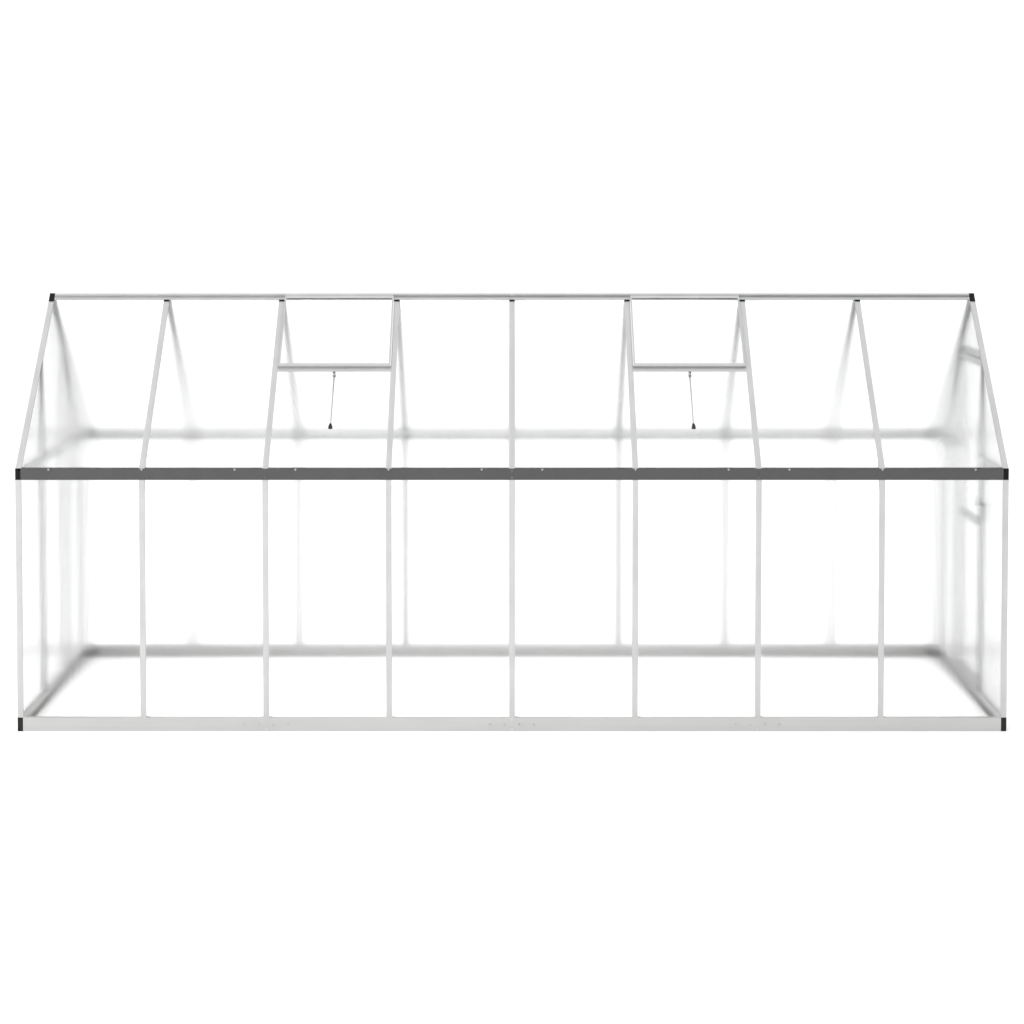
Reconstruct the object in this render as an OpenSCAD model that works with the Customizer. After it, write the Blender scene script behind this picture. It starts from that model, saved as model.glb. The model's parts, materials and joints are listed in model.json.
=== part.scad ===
// Walk-in greenhouse: a bare aluminium frame of extruded bars, glazed with
// twin-wall sheet, with two hinged roof vents and a hinged door in one gable.
// X runs along the house, Y across it, Z up. The origin is on the ground at
// the middle of the footprint. The door is in the +X gable.

/* [Overall] */
// Spacing of the glazing bars along the house
bay = 590; // [480:5:720]
// Number of bays along the house
bays = 8; // [6:2:10]
// Depth over the two long walls
depth = 1900; // [1560:10:2300]
// Height of the top edge of the gutters
eave_h = 1268; // [1060:2:1540]
// Height of the top of the ridge
ridge_h = 2063; // [1900:1:2480]

/* [Bars] */
// Width of every glazing bar
bar_w = 28; // [26:1:36]
// Depth of a glazing bar, from its outer face inwards
bar_d = 18; // [17:1:22]
// Wall thickness of every extrusion
wall_t = 1.8; // [1.5:0.1:2.2]
// Clear width inside a bar's bolt channel
channel_w = 11; // [9:0.5:12]
// Width of the slot that opens the bolt channel
slot_w = 7; // [6:0.5:8]
// Width of the bevel along each edge of a bar's outer face
bevel_w = 5; // [2:0.5:7]
// Depth of that bevel
bevel_d = 0.9; // [0.4:0.1:1.2]

/* [Glazing] */
// Thickness of the twin-wall sheet
pane_t = 4; // [4:0.5:6]
// Free space on each face of a sheet in its groove
pane_fit = 0.4; // [0.2:0.1:0.6]
// Space between the edge of a sheet and the web behind it
pane_edge = 2.6; // [1.5:0.1:4]

/* [Base] */
// Height of the base rails
base_h = 67; // [60:1:90]
// Depth of the base rails
base_d = 26; // [24:1:27]
// Depth of the sheet groove along the base rails and the gutters
groove_h = 17; // [12:1:20]
// Height of the inner leg of the base rail
leg_h = 22; // [20:1:30]
// Bore of the ground-anchor holes in the foot flange
anchor_bore = 8; // [6:0.5:9]
// Length of a base splice plate
splice_len = 280; // [240:10:320]
// Height of a base splice plate
splice_h = 36; // [34:1:40]
// Thickness of splice plates and gussets
plate_t = 3; // [2:0.5:4]
// Spacing of the bolts in a splice plate
splice_pitch = 70; // [50:5:75]
// Diameter of the splice bolts' heads
head_d = 12; // [10:1:14]
// Height of the splice bolts' heads
head_h = 3; // [2:0.5:4]

/* [Gutter] */
// Height of the gutter's face
gutter_h = 55; // [48:1:70]
// Height of the gutter's water channel floor above its lower edge
floor_up = 16; // [14:1:20]
// Distance from the gutter's face in to the lower edge of the roof
lip_in = 6; // [4:0.5:10]
// Rise of the gutter's front lip above the lower edge of the roof
lip_up = 2; // [1:0.5:4]
// Diameter of the gutter screws' heads
screw_d = 9; // [7:1:10]

/* [Ridge] */
// Radius of the tubular crest of the ridge bar
crest_r = 8; // [6:0.5:9]
// Rise of the crest's top above the line where the roof planes meet
crest_up = 7; // [6:0.5:9]
// Length of the ridge flange down each slope
flange_len = 40; // [38:1:60]
// Length of the ridge end caps down each slope
ridge_cap_len = 52; // [46:1:70]

/* [Vents] */
// Distance from the ridge line down the slope to the vent's lower edge
vent_len = 538; // [420:2:650]
// Gap between a vent and the rafters beside it
vent_gap = 2; // [2:0.5:6]
// Width of the vent's bottom bar
vent_bar = 21; // [18:1:26]
// Width of the vent's side bars
vent_side = 9; // [8:1:20]
// Height of the vent frame above the roof plane
vent_lift = 2.4; // [2.2:0.1:4]
// Gap between the vent's front lip and the sill's apron
lip_fit = 0.4; // [0.3:0.1:1]
// Radius of the round bead that the vent turns on
bead_r = 3.4; // [3:0.1:4]
// Running clearance of the bead in its socket
bead_fit = 0.3; // [0.2:0.05:0.4]
// Wall of the bead socket
socket_t = 1.4; // [1.2:0.1:1.6]
// Distance from the ridge line down the slope to the bead
bead_down = 12; // [11.5:0.5:14]
// Width of the sill's apron below the vent
sill_w = 28; // [22:1:40]
// Distance that the sill reaches up under the vent's bottom bar
sill_under = 14; // [10:1:18]

/* [Vent props] */
// Length of a prop rod from its pin to its end
prop_len = 365; // [250:5:420]
// Diameter of a prop rod
prop_d = 8; // [7:0.5:10]
// Length of the grip on the end of a prop rod
grip_len = 29; // [24:1:40]
// Width of the wide end of the grip
grip_w = 21; // [16:1:26]
// Diameter of the prop's pivot pin
pin_d = 6; // [5:0.5:7]

/* [Door] */
// Width of the door leaf
door_w = 616; // [540:2:760]
// Thickness of the door leaf
door_t = 16; // [14:1:20]
// Gap around the edge of the door leaf
door_gap = 3; // [2:0.5:5]
// Gap between the door leaf and its stops
stop_gap = 0.6; // [0.4:0.1:1]
// Width of the stops behind the edge of the leaf
stop_lap = 4; // [3:0.5:5]
// Width of the tubes of the leaf's stiles, top rail and middle rail
stile_w = 22; // [20:1:30]
// Width of the fins that hold the door's sheets
fin_w = 10; // [8:1:14]
// Height of the middle of the leaf's middle rail
mid_rail_z = 910; // [700:5:1050]
// Height of the tube of the leaf's bottom rail
kick_h = 44; // [30:1:80]
// Height of the header bar over the door
header_h = 45; // [42:1:60]
// Drop of the header's lower edge below the foot of the rakes at the jambs
header_drop = 20; // [10:1:60]
// Radius of the hinge knuckles
knuckle_r = 4.2; // [4:0.1:4.5]
// Length of a hinge along its pin
hinge_len = 66; // [50:2:90]
// Distance of the outer hinges from the ends of the leaf
hinge_in = 180; // [120:5:260]
// Height of the door latch
latch_z = 1010; // [850:5:1150]
// Length of the latch lever from its spindle
lever_len = 80; // [60:2:110]
// Length of the latch cam from its spindle
cam_len = 32; // [28:1:40]

/* [Hidden] */
$fn = 48;

length = bays * bay + bar_w;
grid = [for (i = [0:bays]) (i - bays / 2) * bay];
inner_grid = [for (i = [1:bays - 1]) grid[i]];
vent_bays = [2, bays - 3];
vent_x = [for (b = vent_bays) (grid[b] + grid[b + 1]) / 2];
seat_out = wall_t + pane_t + 2 * pane_fit;
seat_back = seat_out + wall_t;
pane_in = wall_t + pane_fit;
web_gap = wall_t / 2 + pane_edge;

apex_z = ridge_h - crest_up;
foot_z = eave_h - lip_up;
run = depth / 2 - lip_in;
pitch = atan2(apex_z - foot_z, run);
slope = sqrt(pow(apex_z - foot_z, 2) + pow(run, 2));
gutter_z = eave_h - gutter_h;
seat_fit = 0.3;
gutter_seat = lip_in + (seat_fit + lip_up + bar_d / cos(pitch)) / tan(pitch);
gutter_d = gutter_seat + wall_t;
corner_w = base_d;
rail_end = length / 2 - corner_w;
expansion = 1;
splices = [for (i = [2:2:bays - 2]) grid[i]];

head_t = flange_len - 5;
flange_in = head_t - 1;
groove_t = 10;
flange_t0 = (seat_out + wall_t / 2) * tan(pitch);
splice_t0 = (seat_back + plate_t / 2) * tan(pitch);
bead_n = vent_lift + seat_back / 2;
socket_r = bead_r + bead_fit;
neck_t = 2.5;
vent_t0 = bead_down + socket_r + socket_t + 3;
vent_w = bay - bar_w - 2 * vent_gap;
vent_top_w = 18;
sill_t0 = vent_len - sill_under;
sill_end = vent_len + sill_w;
sill_len = bay - bar_w - 2 * seat_fit;

pivot_t = sill_end + 8;
pivot_n = -seat_back - 15;
pin_fit = 0.2;
eye_r = 7;
eye_w = 8;
cheek_t = 2.5;

gable_drop = bar_w / 2 + web_gap;
jamb_y = door_w / 2 + door_gap + wall_t / 2;
jamb_d = door_t + stop_gap + wall_t;
jamb_top = apex_z - jamb_y * tan(pitch) - bar_w / cos(pitch);
header_z = jamb_top - header_drop;
leaf_z0 = base_h + door_gap;
leaf_z1 = header_z - door_gap;
tie_h = 42;
tie_w = 20;
hinge_axis_a = door_w / 2 + door_gap / 2;
hinge_axis_d = -knuckle_r - 0.6;
leaf_pin_r = 2.2;
hinges_z = [leaf_z0 + hinge_in, (leaf_z0 + leaf_z1) / 2, leaf_z1 - hinge_in];
spindle_a = -door_w / 2 + stile_w / 2;
spindle_r = 3.5;

gusset_x = channel_w / 2 + wall_t;
bolt_r = 2.5;
bolt_hole_r = bolt_r + 0.3;
gusset_len = 100;
gusset_reach = 58;
stud_bolt_z = gutter_z - 40;
foot_bolt_z = base_h + 24;
bracket_h = 40;
bracket_t = 2.5;

splice_z = base_h / 2;
anchor_in = base_d / 2 + 1;
nut_h = 4;
nut_r = 4.6;
head_r = 4.4;
splice_top = base_h - groove_h - seat_fit;
bolt_head_h = 3.5;
tongue_len = 24;
channel_mid = seat_back + nut_r + 0.2;
rafter_bolt_t = slope - 95;
joiner_len = 70;
joiner_t = 1.5;
screw_h = 1.5;
screw_in = 145;
clip_len = 12;
clip_t = 2.5;
cap_t = 3;
sheet_rest = 1;
sheet_z0 = base_h - groove_h + wall_t + sheet_rest;
opening_half = jamb_y - wall_t / 2 - door_gap - stop_lap;
tie_end = depth / 2 - gutter_d - seat_fit;
top_sheet_z0 = header_z + header_h - groove_h + wall_t + sheet_rest;
top_sheet_half = min(jamb_y + wall_t,
    (apex_z - top_sheet_z0 - gable_drop / cos(pitch)) / tan(pitch));
vent_side_t0 = vent_t0 + vent_top_w;
vent_side_len = vent_len - vent_bar - vent_side_t0;
cheek_x = eye_w / 2 + seat_fit;
cheek_r = 8;
grip_hold = 14;
door_openings = [
    [leaf_z0 + kick_h, mid_rail_z - stile_w / 2],
    [mid_rail_z + stile_w / 2, leaf_z1 - stile_w],
];
knuckle_len = hinge_len * 0.3;
leaf_t = 2;
plate_gap = knuckle_r + 0.6;
boss_r = 11;
lever_out = 24;
lever_t = 8;
cam_d = jamb_d + 0.6;
cam_t = 4;
cam_r = 5.5;

metal = [0.83, 0.83, 0.83];
grey = [0.38, 0.38, 0.39];
black = [0.14, 0.14, 0.15];
sheet = [0.93, 0.96, 0.97];

// ---- placing ----

module along_x(x0, x1)
    translate([x0, 0, 0]) rotate([90, 0, 90]) linear_extrude(x1 - x0) children();

module front_wall() translate([0, -depth / 2, 0]) children();

module back_wall() mirror([0, 1, 0]) front_wall() children();

module right_gable() translate([length / 2, 0, 0]) rotate([0, 0, 90]) children();

module left_gable() translate([-length / 2, 0, 0]) rotate([0, 0, -90]) children();

// A slope's own frame: X along the house, Y up the slope to the ridge line at 0,
// Z outwards from the roof plane.
module front_slope() translate([0, 0, apex_z]) rotate([pitch, 0, 0]) children();

module back_slope() mirror([0, 1, 0]) front_slope() children();

// Extrudes a section drawn as (x, depth below the roof plane) along the slope,
// between two distances from the ridge line.
module down_slope(t0, t1)
    translate([0, -t1, 0]) rotate([-90, 0, 0]) linear_extrude(t1 - t0) children();

// Extrudes a section drawn as (distance down the slope, height off the roof plane).
module across_slope(x0, x1)
    translate([x0, 0, 0]) rotate([90, 0, 90]) linear_extrude(x1 - x0)
        mirror([1, 0]) children();

// Everything above the undersides of the rakes.
module above_rakes()
    for (back = [0, 1]) mirror([0, back, 0])
        front_slope() translate([-length, -2 * slope, -bar_w])
            cube([2 * length, 4 * slope, 2 * slope]);

function roof_z(y, n) = apex_z - abs(y) * tan(pitch) + n / cos(pitch);

// ---- sections ----

module box(x, y, w, h) translate([x, y]) square([w, h]);

module bar_section() {
    polygon([
        [-bar_w / 2, wall_t], [-bar_w / 2, bevel_d], [-bar_w / 2 + bevel_w, 0],
        [bar_w / 2 - bevel_w, 0], [bar_w / 2, bevel_d], [bar_w / 2, wall_t],
    ]);
    box(-wall_t / 2, 0, wall_t, seat_back);
    box(-bar_w / 2, seat_out, bar_w, wall_t);
    for (side = [0, 1]) mirror([side, 0]) {
        box(channel_w / 2, seat_out, wall_t, bar_d - seat_out);
        box(slot_w / 2, bar_d - wall_t, channel_w / 2 + wall_t - slot_w / 2, wall_t);
    }
}

module corner_half() {
    box(0, 0, bar_w, wall_t);
    box(seat_out, seat_out, bar_w - seat_out, wall_t);
    box(bar_w / 2 - wall_t / 2, 0, wall_t, seat_back);
}

module corner_section() {
    corner_half();
    mirror([1, -1]) corner_half();
}

module base_section() {
    box(0, 0, wall_t, base_h);
    box(0, 0, base_d, wall_t);
    box(0, base_h - groove_h, seat_back, wall_t);
    box(seat_out, base_h - groove_h, wall_t, groove_h);
    box(seat_out, base_h - wall_t, base_d - seat_out, wall_t);
    box(base_d - wall_t, base_h - leg_h, wall_t, leg_h);
}

module gutter_section() {
    box(0, 0, wall_t, gutter_h);
    box(0, gutter_h - 2 * wall_t, wall_t + 1.2, 2 * wall_t);
    box(seat_out, 0, wall_t, floor_up + wall_t);
    box(0, floor_up, gutter_d, wall_t);
    box(gutter_seat, floor_up, wall_t, gutter_h - floor_up);
}

module ridge_half() {
    difference() {
        union() {
            box(crest_r - 1, 0, flange_len - crest_r + 1, wall_t);
            box(groove_t, -seat_back, wall_t, seat_back + wall_t);
            box(flange_t0, -seat_back, flange_in - flange_t0, wall_t);
            box(bead_down - 3, 0, 6, bead_n);
            translate([bead_down, bead_n]) circle(socket_r + socket_t);
        }
        translate([bead_down, bead_n]) {
            circle(socket_r);
            polygon([for (a = [-27, 0, 20, 45, 73]) 2 * socket_r * [cos(a), sin(a)], [0, 0]]);
        }
    }
}

module ridge_section() {
    for (back = [0, 1]) mirror([back, 0]) rotate(180 + pitch) mirror([0, 1]) ridge_half();
    difference() {
        translate([0, crest_up - crest_r]) circle(crest_r);
        translate([0, crest_up - crest_r]) circle(crest_r - wall_t);
    }
}

module jamb_section() {
    box(-wall_t / 2, 0, (bar_w + wall_t) / 2, wall_t);
    box(-wall_t / 2, 0, wall_t, jamb_d);
    box(-wall_t / 2, seat_out, (bar_w + wall_t) / 2, wall_t);
    box(-wall_t / 2 - door_gap - stop_lap, jamb_d - wall_t, wall_t + door_gap + stop_lap, wall_t);
}

module header_section() {
    box(0, 0, wall_t, header_h);
    box(0, 0, jamb_d, wall_t);
    box(jamb_d - wall_t, -door_gap - stop_lap, wall_t, door_gap + stop_lap + wall_t);
    box(0, header_h - groove_h, seat_back, wall_t);
    box(seat_out, header_h - groove_h, wall_t, groove_h);
}

module tube_section(w) {
    difference() {
        square([w, door_t]);
        translate([wall_t, wall_t]) square([w - 2 * wall_t, door_t - 2 * wall_t]);
    }
}

module fin_section() {
    square([fin_w, wall_t]);
    translate([0, seat_out]) square([fin_w, wall_t]);
}

// A round rod along X about the local origin, between two places.
module x_rod(r, x0, x1) translate([x0, 0, 0]) rotate([0, 90, 0]) cylinder(r = r, h = x1 - x0);

// A round rod along Y about the local origin, between two places.
module y_rod(r, y0, y1) translate([0, y1, 0]) rotate([90, 0, 0]) cylinder(r = r, h = y1 - y0);

// A cross bolt along X with its head and nut against two faces.
module cross_bolt(x0, x1) {
    x_rod(bolt_r, x0 - 1, x1 + nut_h);
    x_rod(head_r, x0 - bolt_head_h, x0);
    translate([x1, 0, 0]) rotate([0, 90, 0]) cylinder(r = nut_r, h = nut_h, $fn = 6);
}

// A flat-sided box given in a slope's own frame.
module slope_box(x, t0, n, w, len, h) translate([x, -t0 - len, n]) cube([w, len, h]);

module at_corners()
    for (right = [0, 1], back = [0, 1]) mirror([right, 0, 0]) mirror([0, back, 0])
        translate([-length / 2, -depth / 2, 0]) children();

// ---- base ----

module splice_points()
    for (x = splices, i = [-1.5:1:1.5]) translate([x + i * splice_pitch, 0, splice_z]) children();

module base_rail_long() color(metal) difference() {
    for (i = [0:2:bays - 2]) {
        x0 = i == 0 ? -rail_end : grid[i] + expansion / 2;
        x1 = i == bays - 2 ? rail_end : grid[i + 2] - expansion / 2;
        along_x(x0, x1) base_section();
    }
    splice_points() y_rod(bolt_hole_r, -1, wall_t + 1);
    for (i = [0:bays - 1]) translate([grid[i] + bay / 2, anchor_in, -1])
        cylinder(d = anchor_bore, h = wall_t + 2);
}

module base_rail_front() front_wall() base_rail_long();

module base_rail_back() back_wall() base_rail_long();

module base_rail_gable() color(metal) difference() {
    along_x(corner_w - depth / 2, depth / 2 - corner_w) base_section();
    for (a = [-depth / 4, depth / 4]) translate([a, anchor_in, -1])
        cylinder(d = anchor_bore, h = wall_t + 2);
}

module base_rail_left() left_gable() base_rail_gable();

module base_rail_right() right_gable() base_rail_gable();

module block_tongue()
    translate([corner_w - 1, wall_t + seat_fit, wall_t + seat_fit])
        cube([tongue_len, corner_w / 2, base_h - groove_h - wall_t - 2 * seat_fit]);

// The slot that carries a sheet's edge on through a corner piece.
module corner_slot(z0, h)
    translate([bar_w / 2 - wall_t / 2, wall_t, z0]) cube([corner_w, seat_out - wall_t, h]);

module base_corner_blocks() color(black) at_corners() difference() {
    union() {
        cube([corner_w, corner_w, base_h]);
        block_tongue();
        mirror([1, -1, 0]) block_tongue();
    }
    for (turn = [0, 1]) mirror([turn, -turn, 0])
        corner_slot(base_h - groove_h + wall_t, groove_h);
}

module base_splice_plates() color(metal)
    for (back = [0, 1]) mirror([0, back, 0]) front_wall() difference() {
        for (x = splices) translate([x - splice_len / 2, wall_t, splice_top - splice_h])
            cube([splice_len, plate_t, splice_h]);
        splice_points() y_rod(bolt_hole_r, wall_t - 1, wall_t + plate_t + 1);
    }

module base_splice_bolts() color(grey)
    for (back = [0, 1]) mirror([0, back, 0]) front_wall() splice_points() {
        y_rod(head_d / 2, -head_h, 0);
        y_rod(bolt_r, -1, wall_t + plate_t + nut_h);
        translate([0, wall_t + plate_t + nut_h, 0]) rotate([90, 0, 0])
            cylinder(r = nut_r, h = nut_h, $fn = 6);
    }

// ---- walls ----

module corner_posts() color(metal) at_corners()
    translate([0, 0, base_h]) linear_extrude(gutter_z - base_h) corner_section();

module at_channel(z) translate([0, channel_mid, z]) children();

module wall_studs() color(metal)
    for (x = inner_grid) translate([x, 0, 0]) difference() {
        translate([0, 0, base_h]) linear_extrude(gutter_z - base_h) bar_section();
        for (z = [foot_bolt_z, stud_bolt_z]) at_channel(z) x_rod(bolt_hole_r, -bar_w, bar_w);
    }

module studs_front() front_wall() wall_studs();

module studs_back() back_wall() wall_studs();

module foot_brackets() color(metal)
    for (back = [0, 1], x = inner_grid) mirror([0, back, 0]) front_wall()
        translate([x, 0, 0]) difference() {
            union() {
                translate([gusset_x, seat_back + seat_fit, base_h])
                    cube([bracket_t, bar_d - seat_back + 2, bracket_h]);
                translate([gusset_x, seat_back + seat_fit, base_h])
                    cube([bracket_h / 2, base_d - seat_back - 2, bracket_t]);
            }
            at_channel(foot_bolt_z) x_rod(bolt_hole_r, 0, bar_w);
        }

module foot_bolts() color(grey)
    for (back = [0, 1], x = inner_grid) mirror([0, back, 0]) front_wall()
        translate([x, 0, 0]) at_channel(foot_bolt_z) cross_bolt(-gusset_x, gusset_x + bracket_t);

// ---- gutters ----

module gutter_long() color(grey) translate([0, 0, gutter_z])
    for (i = [0:2:bays - 2]) {
        x0 = i == 0 ? -rail_end : grid[i] + expansion / 2;
        x1 = i == bays - 2 ? rail_end : grid[i + 2] - expansion / 2;
        along_x(x0, x1) gutter_section();
    }

module gutter_front() front_wall() gutter_long();

module gutter_back() back_wall() gutter_long();

module gutter_joiners() color(black)
    for (back = [0, 1], x = splices) mirror([0, back, 0]) front_wall()
        translate([0, 0, gutter_z + floor_up + wall_t]) along_x(x - joiner_len / 2, x + joiner_len / 2) {
            box(wall_t + seat_fit, 0, gutter_seat - wall_t - 2 * seat_fit, joiner_t);
            box(wall_t + seat_fit, 0, joiner_t, gutter_h / 3);
            box(gutter_seat - seat_fit - joiner_t, 0, joiner_t, gutter_h / 4);
        }

module gutter_end_caps() color(black) difference() {
    at_corners() translate([0, 0, gutter_z]) {
        difference() {
            cube([corner_w, gutter_d, gutter_h]);
            corner_slot(-1, floor_up + 1);
        }
        translate([corner_w - 1, wall_t + seat_fit, floor_up + wall_t + seat_fit])
            cube([tongue_len, gutter_seat - wall_t - 2 * seat_fit, gutter_h / 5]);
    }
    for (right = [0, 1], back = [0, 1]) mirror([right, 0, 0]) mirror([0, back, 0]) front_slope()
        slope_box(bar_w / 2 - length / 2, slope - 3 * corner_w, -seat_out, corner_w, 4 * corner_w, bar_w);
}

module gutter_screws() color(metal)
    for (back = [0, 1], i = [1:2:bays - 1], off = [screw_in - bay, 0, bay - screw_in])
        mirror([0, back, 0]) front_wall()
            translate([grid[i] + off, 0, eave_h - screw_d / 2 - 0.5]) y_rod(screw_d / 2, -screw_h, 0);

module gusset_outline() polygon([
    [seat_back + seat_fit, gutter_z - gusset_len],
    [bar_d + 2, gutter_z - gusset_len],
    [gutter_d + gusset_reach, roof_z(run + lip_in - gutter_d - gusset_reach, -bar_d)],
    [gutter_d + gusset_reach, roof_z(run + lip_in - gutter_d - gusset_reach, -seat_back - seat_fit)],
    [gutter_d + seat_fit, roof_z(run + lip_in - gutter_d - seat_fit, -seat_back - seat_fit)],
    [gutter_d + seat_fit, gutter_z + floor_up - seat_fit],
    [seat_back + seat_fit, gutter_z + floor_up - seat_fit],
]);

// The two bolt axes that hold each eave gusset, to the stud and to the rafter.
module gusset_bolt_axes(x) {
    front_wall() translate([x, 0, 0]) at_channel(stud_bolt_z) children();
    front_slope() translate([x, -rafter_bolt_t, -channel_mid]) children();
}

module eave_gussets() color(metal)
    for (back = [0, 1], x = inner_grid) mirror([0, back, 0]) difference() {
        front_wall() for (side = [gusset_x, -gusset_x - plate_t])
            along_x(x + side, x + side + plate_t) gusset_outline();
        gusset_bolt_axes(x) x_rod(bolt_hole_r, -bar_w, bar_w);
    }

module gusset_bolts() color(grey)
    for (back = [0, 1], x = inner_grid) mirror([0, back, 0])
        gusset_bolt_axes(x) cross_bolt(-gusset_x - plate_t, gusset_x + plate_t);

// ---- roof ----

module rafters() color(metal)
    for (x = inner_grid) difference() {
        down_slope(head_t, slope) translate([x, 0]) bar_section();
        translate([x, -rafter_bolt_t, -channel_mid]) x_rod(bolt_hole_r, -bar_w, bar_w);
    }

module rafters_front() front_slope() rafters();

module rafters_back() back_slope() rafters();

module rakes() color(metal)
    for (back = [0, 1]) mirror([0, back, 0]) difference() {
        front_slope() down_slope(-bar_w, slope + bar_w)
            translate([-length / 2, 0]) corner_section();
        translate([-length, -depth, eave_h - depth]) cube([2 * length, 2 * depth, depth]);
        translate([-length, -seat_fit / 2, 0]) cube([2 * length, depth, 2 * ridge_h]);
    }

module rakes_left() rakes();

module rakes_right() mirror([1, 0, 0]) rakes();

module ridge_bar() color(metal) translate([0, 0, apex_z])
    for (i = [0:2:bays - 2]) {
        x0 = i == 0 ? seat_fit + bar_w - length / 2 : grid[i] + expansion / 2;
        x1 = i == bays - 2 ? length / 2 - bar_w - seat_fit : grid[i + 2] - expansion / 2;
        along_x(x0, x1) ridge_section();
    }

module ridge_splices() color(metal) translate([0, 0, apex_z])
    for (x = splices) along_x(x - splice_len / 3, x + splice_len / 3)
        for (back = [0, 1]) mirror([back, 0]) rotate(180 + pitch) mirror([0, 1])
            box(splice_t0, -seat_back - plate_t, flange_in - splice_t0, plate_t);

module ridge_end_caps() color(black)
    for (right = [0, 1]) mirror([right, 0, 0])
        translate([0, 0, apex_z]) along_x(-length / 2, bar_w - length / 2) difference() {
            union() {
                for (back = [0, 1]) mirror([back, 0]) rotate(180 + pitch) mirror([0, 1])
                    box(0, 0, ridge_cap_len, cap_t);
                translate([0, crest_up - crest_r]) circle(crest_r);
            }
            for (back = [0, 1]) mirror([back, 0]) rotate(180 + pitch) mirror([0, 1])
                box(0, -bar_w, 2 * ridge_cap_len, bar_w);
        }

module ridge_clips() color(black)
    for (back = [0, 1], x = inner_grid) mirror([0, back, 0]) front_slope()
        slope_box(x - bar_w / 2, flange_len + seat_fit, 0, bar_w, clip_len, clip_t);

// ---- gables ----

module gable_studs_left() color(metal) difference() {
    left_gable() for (a = [-jamb_y, jamb_y]) translate([a, 0, base_h])
        linear_extrude(ridge_h - base_h) bar_section();
    above_rakes();
}

module tie_section(d) {
    box(d, eave_h - tie_h, wall_t, tie_h);
    box(d, eave_h - wall_t, tie_w, wall_t);
}

module gable_tie_left() color(metal) left_gable() along_x(-tie_end, tie_end) tie_section(bar_d);

module gable_ties_right() color(metal) right_gable()
    for (side = [0, 1]) mirror([side, 0, 0]) along_x(opening_half, tie_end) tie_section(jamb_d);

module door_jambs() color(metal) difference() {
    right_gable() for (side = [0, 1]) mirror([side, 0, 0])
        translate([jamb_y, 0, base_h]) linear_extrude(ridge_h - base_h) jamb_section();
    above_rakes();
}

module door_header() color(metal) difference() {
    right_gable() translate([0, 0, header_z]) {
        along_x(-opening_half, opening_half) header_section();
        along_x(wall_t / 2 - jamb_y, jamb_y - wall_t / 2) intersection() {
            header_section();
            box(0, 0, jamb_d - wall_t, header_h);
        }
    }
    above_rakes();
}

// ---- glazing ----

module wall_sheets() color(sheet)
    for (i = [0:bays - 1])
        translate([grid[i] + web_gap, pane_in, sheet_z0])
            cube([bay - 2 * web_gap, pane_t, gutter_z + floor_up - sheet_rest - sheet_z0]);

module glazing_front_wall() front_wall() wall_sheets();

module glazing_back_wall() back_wall() wall_sheets();

module roof_sheet(i, t0)
    slope_box(grid[i] + web_gap, t0, -pane_in - pane_t, bay - 2 * web_gap,
        slope - sheet_rest - t0, pane_t);

module glazing_front_roof() color(sheet) front_slope()
    for (i = [0:bays - 1])
        roof_sheet(i, len(search(i, vent_bays)) > 0
            ? vent_len + 2 + wall_t + sheet_rest : groove_t + wall_t + sheet_rest);

module glazing_back_roof() color(sheet) back_slope()
    for (i = [0:bays - 1]) roof_sheet(i, groove_t + wall_t + sheet_rest);

// A gable sheet between two places across the gable, cut to the rakes and
// notched round the ends of the gutters.
module gable_sheet(a0, a1, z0) color(sheet)
    translate([0, pane_in + pane_t, 0]) rotate([90, 0, 0]) linear_extrude(pane_t) difference() {
        polygon([
            [a0, z0], [a1, z0], [a1, roof_z(a1, -gable_drop)],
            if (a0 * a1 < 0) [0, roof_z(0, -gable_drop)],
            [a0, roof_z(a0, -gable_drop)],
        ]);
        for (side = [0, 1]) mirror([side, 0])
            box(depth / 2 - gutter_d - sheet_rest, gutter_z - sheet_rest, 2 * gutter_d, 2 * gutter_h);
    }

module gable_side_sheets(inner)
    for (side = [0, 1]) mirror([side, 0, 0])
        gable_sheet(jamb_y + inner, depth / 2 - gable_drop, sheet_z0);

module glazing_left_gable() left_gable() {
    gable_side_sheets(web_gap);
    gable_sheet(web_gap - jamb_y, jamb_y - web_gap, sheet_z0);
}

module glazing_right_gable() right_gable() {
    gable_side_sheets(web_gap);
    gable_sheet(-top_sheet_half, top_sheet_half, top_sheet_z0);
}

// ---- roof vents ----

module vent_sills() color(metal) front_slope()
    for (x = vent_x) across_slope(x - sill_len / 2, x + sill_len / 2) {
        box(sill_t0, -seat_back, wall_t, seat_back + vent_lift - seat_fit);
        box(sill_t0, -wall_t, sill_end - sill_t0, wall_t);
        box(vent_len + 2, -seat_back, wall_t, seat_back);
        box(sill_t0, -seat_back, sill_end - sill_t0 - 6, wall_t);
    }

module vent_top_bar(x) color(metal) front_slope() across_slope(x - vent_w / 2, x + vent_w / 2) {
    translate([bead_down, bead_n]) circle(bead_r);
    box(bead_down, bead_n - neck_t / 2, vent_t0 - bead_down + wall_t, neck_t);
    box(vent_t0, vent_lift, wall_t, seat_back);
    box(vent_t0, vent_lift, vent_top_w, wall_t);
    box(vent_t0, vent_lift + seat_out, vent_top_w, wall_t);
}

module vent_frame(x) color(metal) front_slope() {
    for (side = [0, 1]) translate([x, 0, 0]) mirror([side, 0, 0]) {
        slope_box(-vent_w / 2, vent_side_t0, vent_lift, wall_t, vent_side_len, seat_back);
        slope_box(-vent_w / 2, vent_side_t0, vent_lift, vent_side, vent_side_len, wall_t);
        slope_box(-vent_w / 2, vent_side_t0, vent_lift + seat_out, vent_side, vent_side_len, wall_t);
    }
    across_slope(x - vent_w / 2, x + vent_w / 2) {
        box(vent_len - wall_t, lip_fit, wall_t, vent_lift + seat_back - lip_fit);
        box(vent_len - vent_bar, vent_lift, vent_bar, wall_t);
        box(vent_len - vent_bar, vent_lift + seat_out, vent_bar, wall_t);
    }
}

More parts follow.
